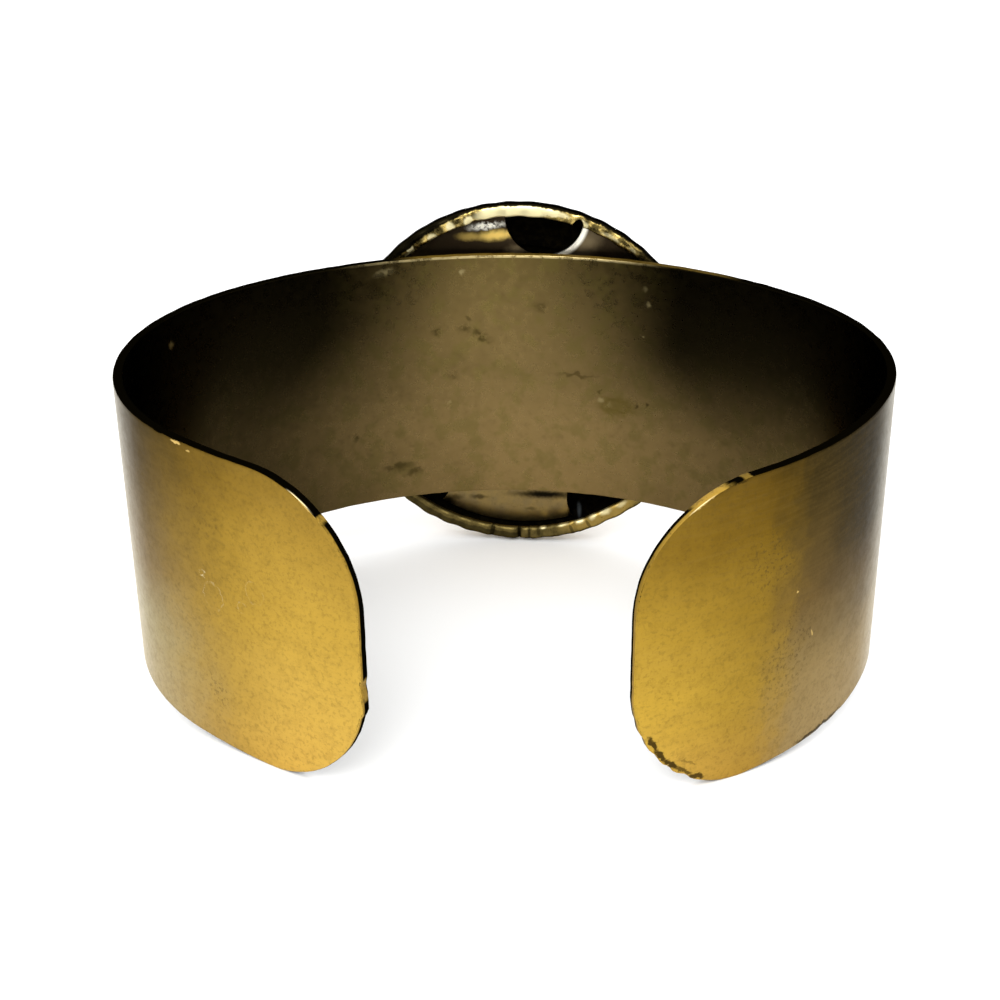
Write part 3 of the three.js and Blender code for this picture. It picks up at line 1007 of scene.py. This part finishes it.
mark_place(shell)
for vert in shell.verts:
    radius = hypot(vert.co.x, vert.co.z)
    if vert.co.y > hem_front + SAME_PLACE or radius < ORNAMENT_RADIUS - HEM_WIDTH - CLEARANCE:
        continue
    new_radius, new_forward = pressed(vert.co)
    vert.co = (vert.co.x * new_radius / radius, new_forward, vert.co.z * new_radius / radius)
print("presses round the hem:", PRESS_COUNT)

# %% Tell the shell's inside from its outside
INSIDE_FROM = 0.3
FACING_IN = -0.3


def lay_ornament(bm):
    bmesh.ops.translate(bm, verts=bm.verts[:], vec=ORNAMENT_PLACE)
    lay_down(bm)


shell.normal_update()
for face in shell.faces:
    middle = face.calc_center_median()
    outwards = Vector((middle.x, 0.0, middle.z)).normalized()
    facing = min(face.normal.dot(outwards), face.normal.y)
    if middle.y > hem_front - INSIDE_FROM and facing < FACING_IN:
        face.material_index = 1
print("faces inside the shell:", sum(face.material_index for face in shell.faces))
lay_ornament(shell)

# %% [markdown]
# ## The finish of the shell
#
# The shell's brass is brighter and smoother than the strip's, because it was burnished as it was
# closed. Olive-brown tarnish lies between the presses and in the creases, and the lowest part of
# the hem is dull. Cream painted highlights sit along the hem, and a dark painted shade runs along
# its outer edge. The angle round the ornament is worked out from the point's place, and the
# tarnish, the highlights and the shade are drawn along it.

# %% Burnished brass with tarnish between the presses
# A cream painted highlight for the hem.
HEM_PAINTED_HIGHLIGHT = rgb(250, 238, 186)
BRIGHT = rgb(206, 180, 106)
OLIVE = rgb(92, 80, 42)
OLIVE_DARK = rgb(44, 37, 17)
# Painted shade for the hollow inside of the shell, with a painted grey glint.
INSIDE_PAINTED_SHADE = rgb(4, 3, 2)
INSIDE_GLINT = ((6.0, -15.5), (0.35, 0.9), 10)
GLINT_GREY = rgb(58, 62, 64)

HEM_OLIVE = rgb(88, 76, 42)
HEM_GOLD = rgb(170, 143, 74)
FRONT_BRASS = rgb(182, 152, 84)
FRONT_BROWN = rgb(140, 114, 60)
# A dark painted shade along the hem's outer edge, where it starts and how it fades.
HEM_PAINTED_SHADE = rgb(20, 17, 8)
HEM_SHADE_RADII = (-10.0, -45.0, 18.04, 17.55)
HEM_SHADE_FADE = 0.12

# The centre of each row is (angle in degrees, radius). The angle is counted clockwise from the
# highest point in the upper tables, and anticlockwise from the lowest point in the lower ones.
# Painted highlights along the upper hem.
UPPER_PAINTED_HIGHLIGHTS = [
    ((0, 17.6), (11, 0.85), 1),
    ((9, 17.8), (8, 0.35), 0.9),
    ((-9, 17.55), (7, 0.65), 1),
    ((-16.9, 17.45), (2, 0.45), 0.95),
    ((-23.1, 17.5), (1.8, 0.5), 1),
    ((-30.2, 17.35), (2, 0.45), 0.9),
    ((-38.6, 17.6), (1.6, 0.55), 1),
    ((-40, 17.2), (2.2, 0.25), 0.6),
    ((21, 17.5), (1.6, 0.5), 0.7),
    ((30, 17.6), (4, 0.25), 0.35),
    ((38, 17.7), (2, 0.2), 0.15),
]
UPPER_BROWN = [
    ((9.5, 17.2), (5.5, 0.3), 0.9),
    ((15, 17.3), (2.6, 0.26), 0.8),
]
UPPER_DARK = [
    ((25, 17.35), (3, 0.4), 0.8),
    ((33.5, 17.2), (3, 0.35), 0.7),
    ((44, 17.6), (9.5, 0.8), 0.9),
    ((-34.5, 17.5), (1.4, 0.6), 0.6),
    ((-26.8, 17.6), (1.3, 0.5), 0.6),
    ((-46, 17.5), (5, 0.8), 0.8),
]
LOWER_GOLD = [((30, 17.5), (19, 0.9), 0.75)]
# Painted highlights along the lower hem.
LOWER_PAINTED_HIGHLIGHTS = [
    ((8, 17.15), (1.6, 0.3), 0.55),
    ((15.5, 17.2), (2.6, 0.3), 0.5),
    ((21.5, 17.25), (2.4, 0.4), 0.7),
    ((26.5, 17.3), (2.2, 0.4), 0.6),
    ((31.5, 17.35), (3, 0.45), 0.8),
    ((38, 17.45), (3, 0.3), 0.5),
]
LOWER_DARK = [
    ((-10, 17.6), (1, 1.2), 0.85),
    ((-0.7, 17.6), (0.9, 1.2), 0.85),
    ((2.8, 17.6), (0.6, 1.2), 0.7),
    ((6.2, 17.5), (0.8, 0.6), 0.6),
    ((17.8, 17.8), (0.8, 0.5), 0.6, 25),
    ((24, 17.8), (0.8, 0.5), 0.6, 25),
]

sheen = Finish("burnished brass", metallic=1.0, roughness=0.25)
place = sheen.place("ornament_place")
x_part, z_part = sheen.part(place, 0), sheen.part(place, 1)
radius = sheen.distance(sheen.stretch(place, (1.0, 1.0, 0.0)))


def unrolled(height):
    """The angle from where the height is greatest, and the radius, as a place to draw on."""
    angle = sheen.times(sheen.calc("ARCTAN2", x_part, height), math.degrees(1.0))
    where = sheen.node("CombineXYZ", {"X": angle, "Y": radius}).outputs["Vector"]
    return sheen.wobble(where, 0.6, 0.35)


upper, lower = unrolled(z_part), unrolled(sheen.times(z_part, -1.0))
grain = sheen.noise(place, 1.2, 4.0, 0.65)
fine = sheen.noise(place, 4.5, 3.0, 0.6)
lowness = sheen.share(z_part, 4.0, -12.0)
sheen.base = sheen.mix(sheen.share(grain, 0.42, 0.62), BRIGHT, OLIVE)
sheen.layer(sheen.times(lowness, 0.9), HEM_OLIVE)
sheen.layer(sheen.spots(lower, LOWER_GOLD), HEM_GOLD)
sheen.layer(sheen.share(fine, 0.60, 0.74, 0.0, 0.5), OLIVE_DARK)
sheen.layer(sheen.spots(upper, UPPER_DARK), OLIVE_DARK)
# Cream painted highlights on the hem.
hem_highlight = sheen.most(sheen.spots(upper, UPPER_PAINTED_HIGHLIGHTS), sheen.spots(lower, LOWER_PAINTED_HIGHLIGHTS, 0.8))
sheen.layer(hem_highlight, HEM_PAINTED_HIGHLIGHT)
sheen.layer(sheen.spots(upper, UPPER_BROWN, 0.8), HEM_OLIVE)
sheen.layer(sheen.spots(lower, LOWER_DARK), OLIVE_DARK)
# A dark painted shade along the hem's outer edge, weaker at the bottom.
hem_shade_start = sheen.share(sheen.part(upper, 0), *HEM_SHADE_RADII)
hem_shade = sheen.calc("SUBTRACT", sheen.part(upper, 1), hem_shade_start)
hem_shade = sheen.share(hem_shade, 0.0, HEM_SHADE_FADE)
hem_shade = sheen.times(hem_shade, sheen.share(lowness, 0.6, 1.0, 1.0, 0.6))
sheen.layer(hem_shade, HEM_PAINTED_SHADE)
on_front = sheen.share(sheen.part(place, 2), 0.15, 0.7)
plain = sheen.mix(sheen.share(grain, 0.35, 0.75), FRONT_BRASS, FRONT_BROWN)
sheen.layer(on_front, plain)
sheen.tint_edges(0.8)
sheen.bump(grain, 0.00004, 0.25)
dullness = sheen.most(sheen.share(lowness, 0.3, 1.0, 0.0, 0.24), sheen.times(hem_highlight, 0.18))
roughness = sheen.calc("ADD", sheen.share(grain, 0.3, 0.7, 0.2, 0.34), dullness)
burnished_brass = sheen.done(roughness)

# %% Painted shade inside the shell, with a painted glint
inside_shade = Finish("painted shade inside", metallic=0.0, roughness=0.8)
inside_shade.shader.inputs["Specular IOR Level"].default_value = 0.0
place = inside_shade.place("ornament_place")
haze = inside_shade.share(inside_shade.noise(place, 2.0), 0.4, 0.7, 0.0, 0.12)
# The hollow inside is painted near black as painted shade, with a faint olive haze.
inside_shade.base = inside_shade.mix(haze, INSIDE_PAINTED_SHADE, OLIVE_DARK)
# A painted grey glint, a painted reflection on the inside of the dome.
inside_shade.layer(inside_shade.spot(place, *INSIDE_GLINT, 0.9), GLINT_GREY)
shell_finishes = [burnished_brass, inside_shade.done()]
finish_piece(shell, "stamped_shell", "ornament_shell", shell_finishes)

# %% [markdown]
# ## The back plate
#
# The plate is a shallow lid with five half-round notches, punched out before the lid was
# pressed. It is spun like the shell, and then a round punch cuts each notch with a boolean. The
# cut edges are broken with a bevel, and the notches' rims catch the light as a bright lip.

# %% Spin the plate
PLATE_STEPS = 240
PLATE_ROUNDING = 0.22
PLATE_SLANT = 0.18

plate_profile = [
    (0.0, PLATE_BACK + PLATE_THICKNESS),
    (plate_radius - PLATE_THICKNESS - PLATE_SLANT, PLATE_BACK + PLATE_THICKNESS),
    (plate_radius - PLATE_THICKNESS, PLATE_BACK + PLATE_THICKNESS + PLATE_SLANT),
    (plate_radius - PLATE_THICKNESS, plate_front),
    (plate_radius, plate_front),
    (plate_radius + plate_flare, PLATE_BACK),
    (0.0, PLATE_BACK),
]
plate = spun(plate_profile, PLATE_STEPS)
round_ring(plate, plate_radius + plate_flare, PLATE_BACK, PLATE_ROUNDING, 5)
print("plate faces before the notches:", len(plate.faces))

# %% Punch the notches
NOTCH_ANGLES = [7.8, 79.8, 148.1, 223.8, 295.8]
NOTCH_RADIUS = 3.9
TOP_NOTCH_OUT = 0.4
NOTCH_SEGMENTS = 96
PUNCH_LENGTH = 6.0

punches = bmesh.new()
for degrees in NOTCH_ANGLES:
    angle = radians(degrees)
    out = plate_radius + (TOP_NOTCH_OUT if degrees == NOTCH_ANGLES[0] else 0.0)
    centre = Vector((out * sin(angle), PLATE_BACK, out * cos(angle)))
    turned_up = Matrix.Rotation(radians(90), 4, "X")
    size = {"radius1": NOTCH_RADIUS, "radius2": NOTCH_RADIUS, "depth": PUNCH_LENGTH}
    placed = Matrix.Translation(centre) @ turned_up
    bmesh.ops.create_cone(punches, cap_ends=True, segments=NOTCH_SEGMENTS, matrix=placed, **size)
plate_object = to_object(plate, "plate draft")
punch_object = to_object(punches, "punches")
cutting = plate_object.modifiers.new("notches", "BOOLEAN")
cutting.object = punch_object
cutting.operation = "DIFFERENCE"
cutting.solver = "EXACT"
bpy.context.view_layer.update()
cut_plate = plate_object.evaluated_get(bpy.context.evaluated_depsgraph_get())
plate = bmesh.new()
plate.from_mesh(bpy.data.meshes.new_from_object(cut_plate))
for done_with in (plate_object, punch_object):
    bpy.data.objects.remove(done_with)
print("plate faces after the notches:", len(plate.faces))

# %% Break the notches' edges
NOTCH_LIP = 0.16
NOTCH_EDGE_ANGLE = radians(60)
NEAR_BACK = 0.35


def is_notch_edge(edge):
    near_back = all(abs(vert.co.y - PLATE_BACK) < NEAR_BACK for vert in edge.verts)
    return near_back and edge.calc_face_angle(0.0) >= NOTCH_EDGE_ANGLE


sharp = [edge for edge in plate.edges if is_notch_edge(edge)]
bevel(plate, sharp, NOTCH_LIP, 3, clamp=True)
print("notch edges bevelled:", len(sharp))
mark_place(plate)
lay_ornament(plate)

# %% [markdown]
# ## The finish of the back plate
#
# The plate is polished brass under uneven tarnish, brown and mottled towards its rim. Gold and
# white painted highlights sit near its top and along the top notch's lip, painted shade darkens
# it towards the top, and dark marks near the band's lower edge are partly painted shadow and
# partly cement residue. Noise at two sizes gives the clouds and the fine mottle.

# %% Polished plate
PLATE_PAINTED_GOLD_HIGHLIGHT = rgb(238, 203, 108)
PLATE_MOTTLE_AND_SHADE = rgb(48, 39, 27)
PLATE_OLIVE = rgb(146, 124, 76)
PLATE_PAINTED_HIGHLIGHT = rgb(248, 244, 228)
PLATE_SHADE = rgb(20, 17, 9)
PLATE_GREY = rgb(116, 102, 76)

# Painted gold highlights near the top of the plate.
PLATE_GOLD_HIGHLIGHTS = [
    ((-2.6, 14.55), (2.7, 0.75), 1, 7),
    ((-5, 14.4), (2, 0.6), 0.5),
]
# A mottled white painted highlight near the top of the plate.
MOTTLED_HIGHLIGHT_SPOT = ((-3.4, 15.5), (2.4, 0.55), 8)
GREY_PATCHES = [
    ((-0.7, 12.9), (1.4, 0.9), 1),
    ((6.4, 13.9), (2.4, 1.7), 0.8, 40),
]
# Partly painted shadow under the band's lower edge and painted shade at the notch corners, partly
# dark marks of cement residue.
SHADOW_AND_RESIDUE_MARKS = [
    ((0.9, -15.2), (0.9, 0.3), 0.5),
    ((2.4, -13.5), (5.4, 0.7), 1),
    ((-4.6, -14), (1.4, 0.4), 0.7),
    ((-7, -14.1), (1, 0.4), 0.6),
    ((5.1, -15.6), (0.6, 1.2), 0.95, -20),
    ((-7.9, -14.6), (1.2, 1.2), 0.9),
]
TOP_NOTCH = (2.25, 16.5, 0.0)
# Where a white painted highlight runs along the right lip of the top notch.
LIP_HIGHLIGHT_RADII = (4.6, 4.2)
LIP_HIGHLIGHT_SIDE = (2.4, 3.6)

lid = Finish("mottled plate brass", metallic=1.0, roughness=0.28)
place = lid.place("ornament_place")
on_plate = lid.stretch(place, (1.0, 1.0, 0.0))
ragged = lid.wobble(on_plate, 1.6, 0.5)
clouds = lid.noise(place, 0.55, 4.0, 0.6)
fine = lid.noise(place, 2.4, 4.0, 0.65)
height = lid.part(place, 1)
lid.base = lid.mix(lid.share(clouds, 0.35, 0.65, 0.0, 0.5), PLATE_OLIVE, PLATE_GREY)
# Painted shade: the plate darker towards the top. Below, the same dark colour gives the fine
# tarnish mottle.
lid.layer(lid.share(height, -4.0, 6.0), PLATE_MOTTLE_AND_SHADE)
lid.layer(lid.share(fine, 0.5, 0.72, 0.0, 0.2), PLATE_MOTTLE_AND_SHADE)
lid.layer(lid.spots(ragged, GREY_PATCHES, 0.95), PLATE_GREY)
# Painted gold highlights.
lid.layer(lid.spots(ragged, PLATE_GOLD_HIGHLIGHTS, 0.85), PLATE_PAINTED_GOLD_HIGHLIGHT)
# A mottled white painted highlight near the top of the plate.
mottle = lid.times(lid.spot(ragged, *MOTTLED_HIGHLIGHT_SPOT, 0.7), lid.share(fine, 0.38, 0.56))
lid.layer(mottle, PLATE_PAINTED_HIGHLIGHT)
# Painted shadow and painted shade, with dark cement residue.
lid.layer(lid.spots(ragged, SHADOW_AND_RESIDUE_MARKS, 0.85), PLATE_SHADE)
# A white painted highlight along the right lip of the top notch.
lip_highlight = lid.share(lid.distance(on_plate, TOP_NOTCH), *LIP_HIGHLIGHT_RADII)
lip_highlight = lid.times(lip_highlight, lid.share(lid.part(place, 0), *LIP_HIGHLIGHT_SIDE))
lid.layer(lip_highlight, PLATE_PAINTED_HIGHLIGHT)
lid.tint_edges(0.8)
plate_brass = lid.done(lid.share(fine, 0.3, 0.7, 0.31, 0.36))
finish_piece(plate, "notched_back_plate", "back_plate", [plate_brass])

# %% [markdown]
# ## The cement
#
# A bed of cement holds the ornament on the band. It was soft when the two were pushed together,
# so it fills the space between them and bulges out a little below. A block is divided finely,
# fitted to the band's curved face and pushed about with noise so that its rims are lumpy.

# %% Bed of cement
CEMENT_WIDTH = 19.0
CEMENT_TOP = BAND_HEIGHT / 2 - 1.6
CEMENT_BOTTOM = -BAND_HEIGHT / 2 - 0.25
CEMENT_CUTS = 24
CEMENT_LUMPS, LUMP_SCALE, LUMP_SEED = 0.06, 3.0, 5.0
SIDE_ROUNDNESS, END_ROUNDNESS = 0.25, 0.12

cement = bmesh.new()
bmesh.ops.create_cube(cement, size=1.0)
bmesh.ops.subdivide_edges(cement, edges=cement.edges[:], cuts=CEMENT_CUTS, use_grid_fill=True)
outer_radius = FRONT_RADIUS + BAND_THICKNESS / 2
cement_middle = (CEMENT_TOP + CEMENT_BOTTOM) / 2
half_cement = (CEMENT_TOP - CEMENT_BOTTOM) / 2
for vert in cement.verts:
    across, depth, up = vert.co.x * 2, vert.co.y + 0.5, vert.co.z * 2
    lump = noise.noise(Vector((across * LUMP_SCALE, up * LUMP_SCALE, LUMP_SEED)))
    narrowing = sqrt(1 - SIDE_ROUNDNESS * up * up)
    x = across * CEMENT_WIDTH / 2 * narrowing * (1 + CEMENT_LUMPS * lump)
    z = cement_middle + up * half_cement * sqrt(1 - END_ROUNDNESS * across * across)
    back = sqrt(outer_radius**2 - x**2) - outer_radius
    vert.co = (x, back + depth * (PLATE_BACK - back), z)
bmesh.ops.recalc_face_normals(cement, faces=cement.faces[:])
mark_place(cement)
lay_down(cement)
print("cement faces:", len(cement.faces))

# %% Cement finish
CEMENT_OLIVE = rgb(104, 92, 54)
CEMENT_DARK = rgb(58, 50, 28)

aged = Finish("aged cement", metallic=0.0, roughness=0.6)
place = aged.place("ornament_place")
grain = aged.noise(place, 1.8, 5.0, 0.7)
aged.bump(grain, 0.0001, 0.6)
aged.base = aged.mix(aged.share(grain, 0.35, 0.65), CEMENT_DARK, CEMENT_OLIVE)
finish_piece(cement, "cement_bed", "cement_pad", [aged.done()])

# %% [markdown]
# ## Floor and light
#
# The floor is plain and nearly white. Polished metal shows what stands round it, so the light is
# the most important choice: a sky that is bright overhead and dim near the horizon gives the
# brass its dark sides and bright faces, as a photographer's tent does, and one wide lamp adds
# soft shape.

# %% Floor
FLOOR_HALF_SIZE = 4.0

ground = bmesh.new()
bmesh.ops.create_grid(ground, x_segments=1, y_segments=1, size=FLOOR_HALF_SIZE)
floor = to_object(ground, "floor")
paper = Finish("white paper", metallic=0.0, roughness=0.9)
paper.base = rgb(251, 251, 250)
floor.data.materials.append(paper.done())
floor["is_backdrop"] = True

# %% Sky
SKY_LOW = 0.22
SKY_HIGH = 1.6
SKY_LIMITS = {"From Min": 0.05, "From Max": 0.7, "To Min": SKY_LOW, "To Max": SKY_HIGH}

world = bpy.data.worlds.new("soft sky")
scene.world = world
world.use_nodes = True
sky = world.node_tree
direction = sky.nodes.new("ShaderNodeTexCoord")
upward = sky.nodes.new("ShaderNodeSeparateXYZ")
level = sky.nodes.new("ShaderNodeMapRange")
level.interpolation_type = "SMOOTHSTEP"
for limit, value in SKY_LIMITS.items():
    level.inputs[limit].default_value = value
sky.nodes["Background"].inputs["Color"].default_value = (1.0, 1.0, 1.0, 1.0)
sky.links.new(direction.outputs["Generated"], upward.inputs[0])
sky.links.new(upward.outputs["Z"], level.inputs["Value"])
sky.links.new(level.outputs["Result"], sky.nodes["Background"].inputs["Strength"])
print("sky strength from", SKY_LOW, "to", SKY_HIGH)

# %% Lamp
LAMP_PLACE = Vector((-0.12, -0.62, 0.42))
LAMP_SIZE = 0.5
LAMP_POWER = 4.0

lamp_data = bpy.data.lights.new("wide lamp", "AREA")
lamp_data.shape = "DISK"
lamp_data.size = LAMP_SIZE
lamp_data.energy = LAMP_POWER
lamp = add_object("wide lamp", lamp_data)
turn = (-LAMP_PLACE).to_track_quat("-Z", "Y").to_matrix()
lamp.matrix_world = Matrix.Translation(LAMP_PLACE) @ turn.to_4x4()

scene.view_settings.view_transform = "Standard"
scene.view_settings.look = "None"
print("lamp distance, m:", round(LAMP_PLACE.length, 2))

# %% Print the CAD box and the visual box
boxes = [[list(map(float, corner)) for corner in box] for box in (cad_box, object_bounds())]
for name, box in zip(("CAD box", "visual box"), boxes):
    print(name, "in mm:", [[round(value / MM, 2) for value in corner] for corner in box])
